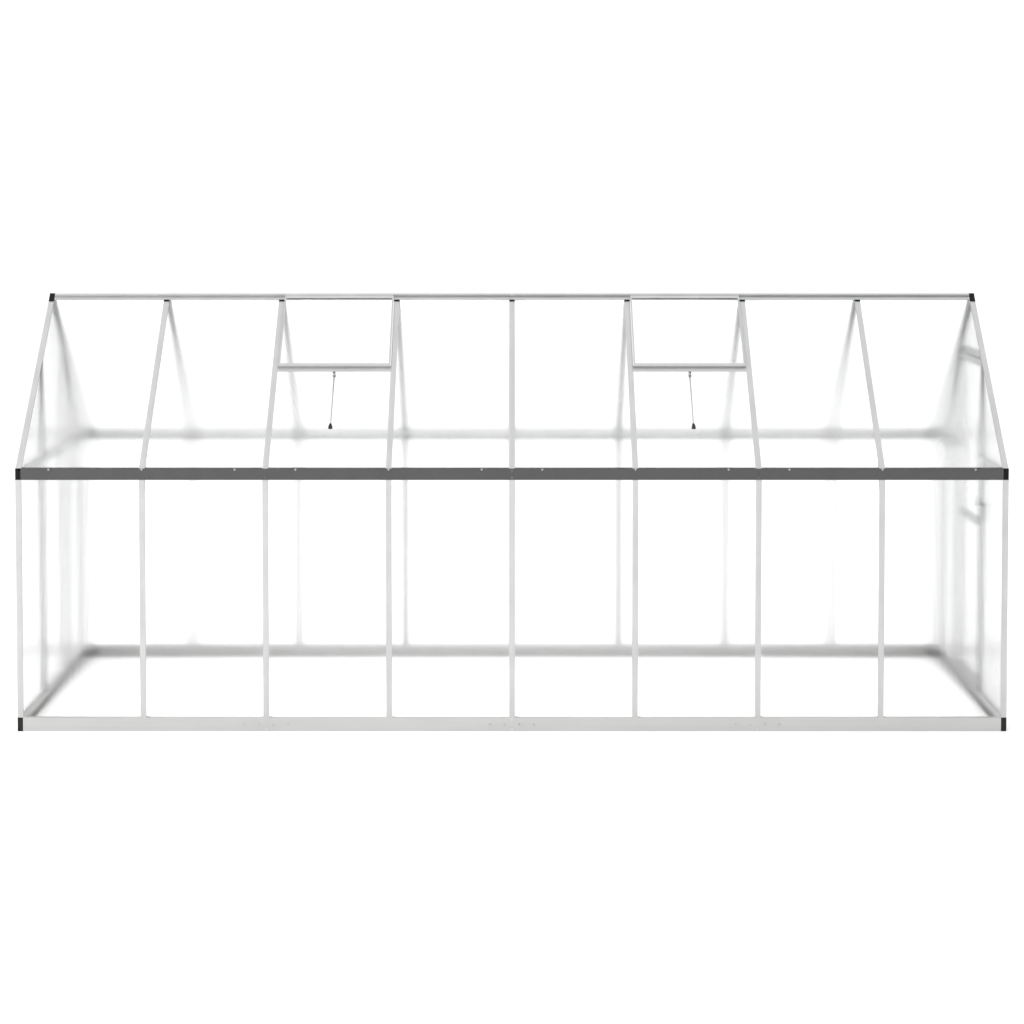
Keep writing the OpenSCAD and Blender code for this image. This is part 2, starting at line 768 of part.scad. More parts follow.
module vent_pane(x) color(sheet) front_slope()
    slope_box(x - vent_w / 2 + wall_t + sheet_rest, vent_t0 + wall_t + sheet_rest,
        vent_lift + wall_t + pane_fit, vent_w - 2 * (wall_t + sheet_rest),
        vent_len - vent_t0 - 2 * (wall_t + sheet_rest), pane_t);

module vent_left_top_bar() vent_top_bar(vent_x[0]);

module vent_left_frame() vent_frame(vent_x[0]);

module vent_left_pane() vent_pane(vent_x[0]);

module vent_right_top_bar() vent_top_bar(vent_x[1]);

module vent_right_frame() vent_frame(vent_x[1]);

module vent_right_pane() vent_pane(vent_x[1]);

// ---- vent props ----

// The frame of a prop's pivot: X along the pin, -Y down the rod, Z outwards.
module at_pivot(x) front_slope() translate([x, -pivot_t, pivot_n]) children();

module prop_bracket() {
    plate_z = -seat_back - pivot_n - cheek_t;
    difference() {
        union() {
            translate([-cheek_x - cheek_t, -cheek_r, plate_z])
                cube([2 * (cheek_x + cheek_t), cheek_r + pivot_t - sill_t0 - 2 * wall_t, cheek_t]);
            for (side = [0, 1]) mirror([side, 0, 0]) {
                translate([cheek_x, -cheek_r, 0]) cube([cheek_t, 2 * cheek_r, plate_z + cheek_t]);
                x_rod(cheek_r, cheek_x, cheek_x + cheek_t);
            }
        }
        x_rod(pin_d / 2 + pin_fit, -bar_w, bar_w);
    }
}

module prop_brackets() color(metal) for (x = vent_x) at_pivot(x) prop_bracket();

module prop_pins() color(black) for (x = vent_x) at_pivot(x) {
    x_rod(pin_d / 2, -cheek_x - cheek_t - 1, cheek_x + cheek_t + 1);
    for (side = [0, 1]) mirror([side, 0, 0])
        x_rod(pin_d / 2 + 1.5, cheek_x + cheek_t, cheek_x + cheek_t + 1.5);
}

module prop_rod(x) color(metal) at_pivot(x) difference() {
    union() {
        x_rod(eye_r, -eye_w / 2, eye_w / 2);
        translate([-eye_w / 2, -cheek_r - 4, -prop_d / 2 + 0.5])
            cube([eye_w, cheek_r + 4, prop_d - 1]);
        y_rod(prop_d / 2, grip_len - grip_hold - prop_len, -cheek_r - 1.5);
    }
    x_rod(pin_d / 2 + pin_fit, -bar_w, bar_w);
}

module prop_grip(x) color(black) at_pivot(x) difference() {
    translate([0, 0, -prop_d / 2 - 1.5]) linear_extrude(prop_d + 3) polygon([
        [-prop_d / 2 - 1.5, grip_len - prop_len], [prop_d / 2 + 1.5, grip_len - prop_len],
        [grip_w / 2, 3 - prop_len], [grip_w / 2 - 2, -prop_len],
        [2 - grip_w / 2, -prop_len], [-grip_w / 2, 3 - prop_len],
    ]);
    y_rod(prop_d / 2 + 0.1, grip_len - grip_hold - prop_len - 0.1, 0);
}

module prop_left_rod() prop_rod(vent_x[0]);

module prop_left_grip() prop_grip(vent_x[0]);

module prop_right_rod() prop_rod(vent_x[1]);

module prop_right_grip() prop_grip(vent_x[1]);

// ---- door ----

module door_stiles() color(metal) right_gable() difference() {
    for (side = [0, 1]) mirror([side, 0, 0]) {
        translate([-door_w / 2, 0, leaf_z0]) linear_extrude(leaf_z1 - leaf_z0) tube_section(stile_w);
        for (z = door_openings) translate([stile_w - door_w / 2, 0, z[0]])
            linear_extrude(z[1] - z[0]) fin_section();
    }
    translate([spindle_a, 0, latch_z]) y_rod(spindle_r + pin_fit, -1, door_t + 1);
}

module door_rail(z, h) {
    half = door_w / 2 - stile_w;
    translate([0, 0, z]) along_x(-half, half) mirror([1, -1]) tube_section(h);
}

module door_fins(z) {
    half = door_w / 2 - stile_w - fin_w;
    translate([0, 0, z]) along_x(-half, half) mirror([1, -1]) fin_section();
}

module door_rails() color(metal) right_gable() {
    door_rail(leaf_z0, kick_h);
    door_rail(mid_rail_z - stile_w / 2, stile_w);
    door_rail(leaf_z1 - stile_w, stile_w);
    for (z = door_openings) {
        door_fins(z[0]);
        door_fins(z[1] - fin_w);
    }
}

module door_panes() color(sheet) right_gable()
    for (z = door_openings) translate([stile_w + sheet_rest - door_w / 2, pane_in, z[0] + sheet_rest])
        cube([door_w - 2 * (stile_w + sheet_rest), pane_t, z[1] - z[0] - 2 * sheet_rest]);

// ---- door hinges ----

// The frame of a hinge: Z up its pin from its lower end.
module at_hinges() right_gable() for (z = hinges_z)
    translate([hinge_axis_a, hinge_axis_d, z - hinge_len / 2]) children();

module knuckle(z0, z1, side) {
    translate([0, 0, z0]) cylinder(r = knuckle_r, h = z1 - z0);
    translate([side > 0 ? 0 : -plate_gap, -hinge_axis_d - leaf_t, z0]) cube([plate_gap, leaf_t, z1 - z0]);
}

module hinge_bore() translate([0, 0, -1]) cylinder(r = leaf_pin_r + pin_fit, h = hinge_len + 2);

module door_hinge_frame_leaves() color(metal) at_hinges() difference() {
    union() {
        knuckle(0, knuckle_len - seat_fit, 1);
        knuckle(hinge_len - knuckle_len + seat_fit, hinge_len, 1);
        translate([plate_gap, -hinge_axis_d - leaf_t, 0])
            cube([jamb_y + bar_w / 2 - 1 - hinge_axis_a - plate_gap, leaf_t, hinge_len]);
    }
    hinge_bore();
}

module door_hinge_door_leaves() color(metal) at_hinges() difference() {
    union() {
        knuckle(knuckle_len, hinge_len - knuckle_len, -1);
        translate([-plate_gap - stile_w + 4, -hinge_axis_d - leaf_t, 0])
            cube([stile_w - 4, leaf_t, hinge_len]);
    }
    hinge_bore();
}

module door_hinge_pins() color(grey) at_hinges() {
    cylinder(r = leaf_pin_r, h = hinge_len);
    translate([0, 0, hinge_len]) cylinder(r = knuckle_r - 0.7, h = 1.5);
}

// ---- door latch ----

module at_latch() right_gable() translate([spindle_a, 0, latch_z]) children();

// A bar tapering from one round end to a smaller one, drawn along +Y.
module tapered_bar(r0, r1, len) {
    circle(r0);
    translate([0, len]) circle(r1);
    polygon([[-r0, 0], [r0, 0], [r1, len], [-r1, len]]);
}

module latch_handle() color(black) at_latch() {
    y_rod(boss_r, -lever_out, -seat_fit);
    translate([0, lever_t - lever_out, 0]) rotate([90, 0, 0]) linear_extrude(lever_t)
        mirror([0, 1]) tapered_bar(boss_r, boss_r - 4, lever_len);
    y_rod(spindle_r, -lever_t, cam_d + cam_t);
    y_rod(spindle_r + 1, cam_d + cam_t, cam_d + cam_t + 2);
}

module latch_cam() color(black) at_latch() difference() {
    translate([0, cam_d + cam_t, 0]) rotate([90, 0, 0]) linear_extrude(cam_t)
        tapered_bar(cam_r, cam_r - 1, cam_len);
    y_rod(spindle_r + 0.1, 0, 2 * jamb_d);
}

base_rail_front();
base_rail_back();
base_rail_left();
base_rail_right();
base_corner_blocks();
base_splice_plates();
base_splice_bolts();
corner_posts();
studs_front();
studs_back();
foot_brackets();
foot_bolts();
gutter_front();
gutter_back();
gutter_joiners();
gutter_end_caps();
gutter_screws();
eave_gussets();
gusset_bolts();
rafters_front();
rafters_back();
rakes_left();
rakes_right();
ridge_bar();
ridge_splices();
ridge_end_caps();
ridge_clips();
gable_studs_left();
gable_tie_left();
gable_ties_right();
door_jambs();
door_header();
glazing_front_wall();
glazing_back_wall();
glazing_front_roof();
glazing_back_roof();
glazing_left_gable();
glazing_right_gable();
vent_sills();
prop_brackets();
prop_pins();
vent_left_top_bar();
vent_left_frame();
vent_left_pane();
vent_right_top_bar();
vent_right_frame();
vent_right_pane();
prop_left_rod();
prop_left_grip();
prop_right_rod();
prop_right_grip();
door_stiles();
door_rails();
door_panes();
door_hinge_frame_leaves();
door_hinge_door_leaves();
door_hinge_pins();
latch_handle();
latch_cam();
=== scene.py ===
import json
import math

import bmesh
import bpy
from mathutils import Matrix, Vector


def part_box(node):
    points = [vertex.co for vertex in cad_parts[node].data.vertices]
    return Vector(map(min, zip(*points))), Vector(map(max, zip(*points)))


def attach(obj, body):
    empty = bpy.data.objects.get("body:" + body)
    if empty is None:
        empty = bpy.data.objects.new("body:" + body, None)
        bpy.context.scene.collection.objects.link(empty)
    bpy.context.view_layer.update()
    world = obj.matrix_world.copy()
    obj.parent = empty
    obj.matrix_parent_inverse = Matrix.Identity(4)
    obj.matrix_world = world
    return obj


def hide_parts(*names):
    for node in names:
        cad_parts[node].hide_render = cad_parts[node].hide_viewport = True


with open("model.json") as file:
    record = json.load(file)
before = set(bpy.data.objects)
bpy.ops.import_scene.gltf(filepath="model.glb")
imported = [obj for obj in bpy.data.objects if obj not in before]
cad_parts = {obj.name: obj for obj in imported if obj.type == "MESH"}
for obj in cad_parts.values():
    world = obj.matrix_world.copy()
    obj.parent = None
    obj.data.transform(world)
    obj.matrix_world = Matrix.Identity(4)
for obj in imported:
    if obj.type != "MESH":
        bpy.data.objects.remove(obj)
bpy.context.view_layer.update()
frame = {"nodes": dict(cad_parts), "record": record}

# %% [markdown]
# # A long aluminium greenhouse
#
# The frame that was just loaded is an eight-bay greenhouse of aluminium bars
# and twin-wall sheet. Its sizes, joints and bodies are finished, so this lesson
# only gives it a surface: softened plastic caps, domed bolt heads, sheets with
# flutes, five finishes, a pale floor, soft light and a camera.

bodies = frame["record"]["behaviour"]["bodies"]
body_of_node = {node: body for body, nodes in bodies.items() for node in nodes}
slot_of_node = {row["node"]: row["material_slot"] for row in frame["record"]["subparts"]}

# %% [markdown]
# ## Three helpers for nodes
#
# Every finish is a web of nodes. It could be drawn by hand in the shader
# editor, and in plain code each node would take several lines. These helpers
# start a node group with named sockets, place a node with its links and
# settings, and do one step of arithmetic, so a finish reads like a recipe.

# %% Node helpers
def new_group(name, inputs, outputs):
    tree = bpy.data.node_groups.new(name, "ShaderNodeTree")
    for side, sockets in (("INPUT", inputs), ("OUTPUT", outputs)):
        for label, kind in sockets:
            tree.interface.new_socket(label, in_out=side, socket_type="NodeSocket" + kind)
    return tree, tree.nodes.new("NodeGroupInput").outputs, tree.nodes.new("NodeGroupOutput").inputs


def put(tree, kind, links=(), **settings):
    made = tree.nodes.new(kind)
    for key, value in settings.items():
        setattr(made, key, value)
    for socket, value in dict(links).items():
        target = made.inputs[socket]
        if isinstance(value, bpy.types.NodeSocket):
            tree.links.new(value, target)
        else:
            target.default_value = value
    return made


def calc(tree, operation, *values):
    return put(tree, "ShaderNodeMath", dict(enumerate(values)), operation=operation).outputs[0]


print("node helpers ready")

# %% [markdown]
# ## Grain coordinates
#
# Extruded bars carry fine die lines along their length. Noise stretched along
# X, Y or Z suits upright and level bars, and would be wrong on the rafters,
# which lie at the roof's pitch. A set of coordinates could be made for each
# slope. Folding the house over its ridge with an absolute value, and turning
# it by the pitch, gives one set for both, so one small group is enough.

# %% Group: coordinates that follow the roof
CREST_UP = 0.007  # the ridge bar's crest stands this far above the slopes' meeting line
LIP_UP = 0.002  # a gutter's lip stands this far above the foot of the slope
LIP_IN = 0.006  # and this far outside it
gutter_lo, gutter_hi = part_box("gutter_front")
roof_rise = (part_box("ridge_bar")[1].z - CREST_UP) - (gutter_hi.z - LIP_UP)
PITCH = math.atan2(roof_rise, -gutter_lo.y - LIP_IN)

roof_grain, gin, gout = new_group("along_the_roof", [], [("Vector", "Vector")])
here = put(roof_grain, "ShaderNodeTexCoord").outputs["Object"]
split = put(roof_grain, "ShaderNodeSeparateXYZ", {0: here})
fold = calc(roof_grain, "ABSOLUTE", split.outputs[1])
joined = put(roof_grain, "ShaderNodeCombineXYZ", {0: split.outputs[0], 1: fold, 2: split.outputs[2]})
turned = put(roof_grain, "ShaderNodeVectorRotate", {"Vector": joined.outputs[0], "Angle": PITCH},
             rotation_type="X_AXIS")
roof_grain.links.new(turned.outputs[0], gout["Vector"])
print("roof coordinates turn by", round(math.degrees(PITCH), 2), "degrees")

# %% [markdown]
# ## Die lines
#
# A bar leaves its die with hair-fine scratches and a few broader bands. They
# could be modelled as grooves, but a groove finer than a hair would cost far
# too many faces. Two noises stretched a hundred times along the bar give both
# instead. They go out as two masks, so a finish can use the lines for
# roughness and relief and the bands for a slow change of tone.

# %% Group: die lines
die_lines, gin, gout = new_group("die_lines", [("Vector", "Vector"), ("Stretch", "Vector")],
                                 [("Lines", "Float"), ("Bands", "Float")])
pulled = put(die_lines, "ShaderNodeVectorMath", {0: gin["Vector"], 1: gin["Stretch"]},
             operation="MULTIPLY").outputs[0]
for label, scale, detail, roughness in (("Lines", 900.0, 3.0, 0.6), ("Bands", 110.0, 2.0, 0.5)):
    noise = put(die_lines, "ShaderNodeTexNoise",
                {"Vector": pulled, "Scale": scale, "Detail": detail, "Roughness": roughness})
    die_lines.links.new(noise.outputs[0], gout[label])
print("die lines ready")

# %% [markdown]
# ## Weather and handling
#
# Nothing outdoors stays even. Clouds are soft patches a hand wide, specks are
# small pits of oxide or dust, and a splash mask grows towards the ground, where
# rain throws up soil. Each finish could mix its own dirt, but the pieces would
# then weather apart. One group keeps them together, with a seed to vary the
# patches, and every finish below takes the masks in its own measure.

# %% Group: weather
weather, gin, gout = new_group("weather", [("Vector", "Vector"), ("Seed", "Float")],
                               [("Clouds", "Float"), ("Specks", "Float"), ("Splash", "Float")])
seeded = {"Vector": gin["Vector"], "W": gin["Seed"]}
clouds = put(weather, "ShaderNodeTexNoise", {**seeded, "Scale": 7.0, "Detail": 5.0, "Roughness": 0.6},
             noise_dimensions="4D")
pits = put(weather, "ShaderNodeTexNoise", {**seeded, "Scale": 260.0, "Detail": 2.0, "Roughness": 0.7},
           noise_dimensions="4D")
specks = put(weather, "ShaderNodeMapRange", {"Value": pits.outputs[0], 1: 0.6, 2: 0.76})
height = put(weather, "ShaderNodeSeparateXYZ", {0: gin["Vector"]}).outputs[2]
ragged = calc(weather, "MULTIPLY_ADD", clouds.outputs[0], -0.22, height)
splash = put(weather, "ShaderNodeMapRange", {"Value": ragged, 1: 0.12, 2: -0.1})
for source, label in ((clouds, "Clouds"), (specks, "Specks"), (splash, "Splash")):
    weather.links.new(source.outputs[0], gout[label])
print("weather ready")

# %% [markdown]
# ## Worn edges
#
# Hands and tools polish the corners of metal and scuff those of plastic. The
# Bevel node rounds the normal near a corner, and where it leaves the true
# normal there is an edge. A noise breaks the mask up, so the wear comes and
# goes along the corner as it does on a used piece.

# %% Group: worn edges
worn_edges, gin, gout = new_group("worn_edges", [("Width", "Float"), ("Breakup", "Float")],
                                  [("Edge", "Float")])
rounded = put(worn_edges, "ShaderNodeBevel", {"Radius": gin["Width"]}, samples=4)
flat = put(worn_edges, "ShaderNodeNewGeometry")
agree = put(worn_edges, "ShaderNodeVectorMath", {0: rounded.outputs[0], 1: flat.outputs["Normal"]},
            operation="DOT_PRODUCT")
rim = put(worn_edges, "ShaderNodeMapRange", {"Value": agree.outputs["Value"], 1: 0.995, 2: 0.8})
coords = put(worn_edges, "ShaderNodeTexCoord").outputs["Object"]
chip = put(worn_edges, "ShaderNodeTexNoise", {"Vector": coords, "Scale": gin["Breakup"], "Detail": 3.0})
broken = put(worn_edges, "ShaderNodeMapRange", {"Value": chip.outputs[0], 1: 0.42, 2: 0.62})
worn_edges.links.new(calc(worn_edges, "MULTIPLY", rim.outputs[0], broken.outputs[0]), gout["Edge"])
print("worn edges ready")

# %% [markdown]
# ## Helpers for finishes
#
# A finish here is one principled shader fed by masks. The helpers start it,
# place a group in it, lay one tone over another through a mask, find the place
# on the object, and turn a height into relief. Constants go straight onto the
# shader's sockets, where other programs can read them.

# %% Finish helpers
def new_finish(name, **constants):
    finish = bpy.data.materials.new(name)
    finish.use_nodes = True
    tree = finish.node_tree
    tree.nodes.clear()
    shader = put(tree, "ShaderNodeBsdfPrincipled", constants)
    put(tree, "ShaderNodeOutputMaterial", {"Surface": shader.outputs[0]})
    return finish, tree, shader.inputs


def use_group(tree, group, **values):
    placed = put(tree, "ShaderNodeGroup", node_tree=group)
    for label, value in values.items():
        if isinstance(value, bpy.types.NodeSocket):
            tree.links.new(value, placed.inputs[label])
        else:
            placed.inputs[label].default_value = value
    return placed.outputs


def tone(tree, mask, dark, light, strength=1.0):
    mix = put(tree, "ShaderNodeMix", data_type="RGBA")
    if strength != 1.0:
        mask = calc(tree, "MULTIPLY", mask, strength)
    tree.links.new(mask, mix.inputs[0])
    for socket, value in ((mix.inputs[6], dark), (mix.inputs[7], light)):
        if isinstance(value, bpy.types.NodeSocket):
            tree.links.new(value, socket)
        else:
            socket.default_value = (*value, 1)
    return mix.outputs[2]


def place_in(tree):
    return put(tree, "ShaderNodeTexCoord").outputs["Object"]


def relief(tree, surface, height, distance, strength):
    bump = put(tree, "ShaderNodeBump", {"Strength": strength, "Distance": distance, "Height": height})
    tree.links.new(bump.outputs[0], surface["Normal"])


print("finish helpers ready")

# %% [markdown]
# ## Mill-finish aluminium
#
# The bars come as they leave the mill: bright grey, not polished, with die
# lines along their length. The lines must follow the bar, so one function
# makes the finish for each direction a bar can run, rather than one finish
# for all. Clouds of thin oxide move the tone and the roughness together,
# rubbed corners turn smoother and brighter, and the splash band near the
# ground is duller and rougher.

# %% Aluminium in each direction
def aluminium(name, stretch, on_roof=False):
    finish, tree, surface = new_finish(name, Metallic=1.0)
    place = place_in(tree)
    along = use_group(tree, roof_grain)["Vector"] if on_roof else place
    die = use_group(tree, die_lines, Vector=along, Stretch=stretch)
    air = use_group(tree, weather, Vector=place, Seed=1.0)
    rub = use_group(tree, worn_edges, Width=0.0008, Breakup=60.0)["Edge"]
    base = tone(tree, air["Clouds"], (0.42, 0.423, 0.428), (0.58, 0.58, 0.575))
    base = tone(tree, die["Bands"], base, (0.38, 0.383, 0.388), 0.4)
    base = tone(tree, air["Specks"], base, (0.30, 0.30, 0.29), 0.5)
    base = tone(tree, air["Splash"], base, (0.47, 0.462, 0.445), 0.3)
    tree.links.new(tone(tree, rub, base, (0.72, 0.72, 0.72), 0.6), surface["Base Color"])
    rough = calc(tree, "MULTIPLY_ADD", die["Lines"], 0.16, 0.27)
    rough = calc(tree, "MULTIPLY_ADD", air["Clouds"], 0.14, rough)
    rough = calc(tree, "MULTIPLY_ADD", air["Splash"], 0.15, rough)
    tree.links.new(calc(tree, "MULTIPLY_ADD", rub, -0.12, rough), surface["Roughness"])
    relief(tree, surface, die["Lines"], distance=0.0001, strength=0.35)
    return finish


metal_long = aluminium("aluminium_along_the_house", (0.01, 1, 1))
metal_across = aluminium("aluminium_across_the_house", (1, 0.01, 1))
metal_upright = aluminium("aluminium_upright", (1, 1, 0.01))
metal_roof = aluminium("aluminium_down_the_roof", (1, 0.01, 1), on_roof=True)
print("four directions of aluminium")

# %% [markdown]
# ## Powder-coated gutters
#
# The gutters are dark grey powder coat. A plain grey would look like card.
# Powder flows into a faint orange peel, so the relief is a soft, wide noise
# rather than lines. Dust settles in clouds and leaves the coat paler and drier
# there, drips run down the face, and corners are rubbed thin.

# %% Gutter coat
gutter_coat, tree, surface = new_finish("gutter_powder_coat", **{"Coat Weight": 0.06, "Coat Roughness": 0.3})
place = place_in(tree)
air = use_group(tree, weather, Vector=place, Seed=4.0)
rub = use_group(tree, worn_edges, Width=0.0009, Breakup=35.0)["Edge"]
drip = use_group(tree, die_lines, Vector=place, Stretch=(0.12, 0.12, 0.004))
base = tone(tree, air["Clouds"], (0.029, 0.0295, 0.031), (0.042, 0.0425, 0.044))
base = tone(tree, drip["Bands"], base, (0.080, 0.078, 0.074), 0.3)
base = tone(tree, air["Specks"], base, (0.11, 0.107, 0.10), 0.5)
tree.links.new(tone(tree, rub, base, (0.20, 0.20, 0.20), 0.5), surface["Base Color"])
rough = calc(tree, "MULTIPLY_ADD", air["Clouds"], 0.2, 0.34)
tree.links.new(calc(tree, "MULTIPLY_ADD", rub, -0.1, rough), surface["Roughness"])
peel = put(tree, "ShaderNodeTexNoise", {"Vector": place, "Scale": 420.0, "Detail": 1.0})
relief(tree, surface, peel.outputs[0], distance=0.0003, strength=0.3)
print("gutter coat ready")

# %% [markdown]
# ## Moulded black plastic
#
# Corner blocks, end caps, clips and grips are moulded in black plastic. The
# mould leaves a fine spark-eroded grain, which small cells of a Voronoi
# texture give better than a smooth noise. The sun bleaches patches to a dark
# grey, and corners that are knocked show a dull pale scuff. The shine is
# turned down, since the grain breaks up the white studio's reflection.

# %% Black plastic
black_plastic, tree, surface = new_finish("moulded_black_plastic", **{"Specular IOR Level": 0.09})
place = place_in(tree)
air = use_group(tree, weather, Vector=place, Seed=9.0)
rub = use_group(tree, worn_edges, Width=0.0012, Breakup=90.0)["Edge"]
base = tone(tree, air["Clouds"], (0.004, 0.004, 0.005), (0.011, 0.011, 0.012))
base = tone(tree, air["Specks"], base, (0.035, 0.035, 0.034), 0.6)
base = tone(tree, air["Splash"], base, (0.04, 0.036, 0.03), 0.4)
tree.links.new(tone(tree, rub, base, (0.085, 0.085, 0.085), 0.6), surface["Base Color"])
rough = calc(tree, "MULTIPLY_ADD", air["Clouds"], 0.22, 0.42)
tree.links.new(calc(tree, "MULTIPLY_ADD", rub, 0.15, rough), surface["Roughness"])
grain = put(tree, "ShaderNodeTexVoronoi", {"Vector": place, "Scale": 1500.0})
relief(tree, surface, grain.outputs[0], distance=0.0002, strength=0.25)
print("black plastic ready")

# %% [markdown]
# ## Zinc fasteners
#
# Bolts, screws and prop rods are zinc plated. The plating is greyer than the
# bars, spangled by fine crystals and dulled in patches where white rust begins.
# The crystals are Voronoi cells that move tone, roughness and relief together.

# %% Zinc
zinc, tree, surface = new_finish("zinc_plated_steel", Metallic=1.0)
place = place_in(tree)
air = use_group(tree, weather, Vector=place, Seed=14.0)
rub = use_group(tree, worn_edges, Width=0.0004, Breakup=200.0)["Edge"]
crystal = put(tree, "ShaderNodeTexVoronoi", {"Vector": place, "Scale": 700.0})
base = tone(tree, crystal.outputs[0], (0.33, 0.33, 0.34), (0.46, 0.46, 0.46))
base = tone(tree, air["Clouds"], base, (0.52, 0.52, 0.50), 0.4)
base = tone(tree, air["Specks"], base, (0.60, 0.60, 0.58), 0.5)
tree.links.new(tone(tree, rub, base, (0.66, 0.66, 0.66), 0.7), surface["Base Color"])
rough = calc(tree, "MULTIPLY_ADD", crystal.outputs[0], 0.15, 0.3)
tree.links.new(calc(tree, "MULTIPLY_ADD", air["Clouds"], 0.15, rough), surface["Roughness"])
relief(tree, surface, crystal.outputs[0], distance=0.0001, strength=0.2)
print("zinc ready")

# %% [markdown]
# ## Twin-wall sheet
#
# Each sheet is two thin skins joined by ribs. From a few steps away the ribs
# melt into fine flutes, and everything behind the sheet is blurred, more so
# the farther it lies. Thousands of modelled ribs would be slow and would
# flicker. A clear rough body gives the same blur, a wave in the relief gives
# the flutes, with a fainter, rougher line at each rib, and rain marks run down
# them. The wave counts across the house on the gables and along it elsewhere.

# %% Sheet in two directions
RIB_SPACING = 0.0058


def twin_wall(name, axis):
    finish, tree, surface = new_finish(name, **{"Metallic": 0.0, "Transmission Weight": 1.0, "IOR": 1.22})
    place = place_in(tree)
    across = put(tree, "ShaderNodeSeparateXYZ", {0: place}).outputs[axis]
    wave = calc(tree, "SINE", calc(tree, "MULTIPLY", across, 2 * math.pi / RIB_SPACING))
    rib = put(tree, "ShaderNodeMapRange", {"Value": wave, 1: 0.75, 2: 1.0}).outputs[0]
    stretch = (1, 0.01, 0.01) if axis == 0 else (0.01, 1, 0.01)
    marks = use_group(tree, die_lines, Vector=place, Stretch=tuple(0.2 * s for s in stretch))
    air = use_group(tree, weather, Vector=place, Seed=20.0)
    base = tone(tree, marks["Bands"], (0.99, 0.994, 0.994), (1.0, 1.0, 1.0))
    base = tone(tree, rib, base, (0.975, 0.98, 0.983), 0.5)
    base = tone(tree, air["Specks"], base, (0.93, 0.93, 0.915), 0.12)
    tree.links.new(tone(tree, air["Splash"], base, (0.96, 0.955, 0.94), 0.2), surface["Base Color"])
    rough = calc(tree, "MULTIPLY_ADD", marks["Bands"], 0.03, 0.085)
    rough = calc(tree, "MULTIPLY_ADD", rib, 0.05, rough)
    tree.links.new(calc(tree, "MULTIPLY_ADD", air["Clouds"], 0.03, rough), surface["Roughness"])
    relief(tree, surface, wave, distance=0.0004, strength=0.36)
    return finish


sheet_long = twin_wall("twin_wall_along_the_house", 0)
sheet_gable = twin_wall("twin_wall_on_the_gables", 1)
print("twin-wall sheet ready")

# %% [markdown]
# ## Which piece gets which finish
#
# The record's material slot says what a piece is made of, and its name says
# which way it runs. Finishes could be set piece by piece, but a rule over the
# record misses none. Sheets take the gable finish when they stand across the
# house, and bars take the direction of their die lines.

# %% Finishes on the bare pieces
RUNS_ACROSS = ("base_rail_left", "base_rail_right", "gable_tie_left", "gable_ties_right", "door_header",
               "door_rails")
RUNS_DOWN_ROOF = ("rafters_front", "rafters_back", "rakes_left", "rakes_right", "vent_left_frame",
                  "vent_right_frame")
RUNS_LONG = ("base_rail_front", "base_rail_back", "ridge_bar", "ridge_splices", "vent_sills",
             "base_splice_plates", "vent_left_top_bar", "vent_right_top_bar")
RUNS = ((RUNS_ACROSS, metal_across), (RUNS_DOWN_ROOF, metal_roof), (RUNS_LONG, metal_long))


def finish_for(node):
    slot = slot_of_node[node]
    if slot == "twin_wall_sheet":
        return sheet_gable if "gable" in node or "door" in node else sheet_long
    if slot == "bare_aluminium":
        for names, finish in RUNS:
            if node in names:
                return finish
        return metal_upright
    return {"gutter_grey": gutter_coat, "black_plastic": black_plastic, "zinc_fastener": zinc}[slot]


for node, piece in frame["nodes"].items():
    piece.data.materials.clear()
    piece.data.materials.append(finish_for(node))
print(len(frame["nodes"]), "pieces have a finish")

# %% [markdown]
# ## Softened mouldings and cut plates
#
# The frame's caps, blocks and plates have razor corners. Real mouldings have a
# radius and cut plates are deburred, and that small round is what catches the
# light. A subdivided surface would make them bulge, so each one is copied, its
# flat faces are joined up again and a bevel rounds only its sharp corners. The
# copy stands in for the bare piece on the same body.

# %% Softened pieces
ROUNDING_MM = {
    "base_corner_blocks": 3.0, "gutter_end_caps": 2.0, "ridge_end_caps": 1.5, "ridge_clips": 0.8,
    "prop_left_grip": 1.2, "prop_right_grip": 1.2, "latch_handle": 1.6, "latch_cam": 0.8,
    "eave_gussets": 0.5, "foot_brackets": 0.4, "prop_brackets": 0.5, "door_hinge_frame_leaves": 0.4,
    "door_hinge_door_leaves": 0.4, "base_splice_plates": 0.5,
}


def bare_shape(node):
    bm = bmesh.new()
    bm.from_mesh(frame["nodes"][node].data)
    bmesh.ops.remove_doubles(bm, verts=bm.verts, dist=1e-6)
    return bm


def join_flats(bm):
    bmesh.ops.dissolve_limit(bm, angle_limit=math.radians(0.5), verts=bm.verts, edges=bm.edges)


def piece_from(bm, name, finish, body):
    mesh = bpy.data.meshes.new(name)
    bm.to_mesh(mesh)
    bm.free()
    mesh.materials.append(finish)
    piece = bpy.data.objects.new(name, mesh)
    bpy.context.collection.objects.link(piece)
    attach(piece, body)
    return piece


def soften(node, width):
    bm = bare_shape(node)
    join_flats(bm)
    for face in bm.faces:
        face.smooth = True
    piece = piece_from(bm, node + "_softened", finish_for(node), body_of_node[node])
    bevel = piece.modifiers.new("rounded corners", "BEVEL")
    bevel.width = width
    bevel.segments = 2
    bevel.limit_method = "ANGLE"
    bevel.angle_limit = math.radians(38)
    bevel.use_clamp_overlap = True
    bevel.harden_normals = True
    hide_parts(node)


for node, mm in ROUNDING_MM.items():
    soften(node, mm / 1000)
print(len(ROUNDING_MM), "pieces softened")

# %% [markdown]
# ## Button heads
#
# The bolts of the base splices and the gutter screws show on the long walls.
# Their bare heads are flat discs, and a real head is a low dome with a hexagon
# socket. The socket could be cut out with a boolean. Here the dome is turned
# ring by ring from a short profile, and its inner rings follow a hexagon, so
# no cutting is needed and the faces stay clean.

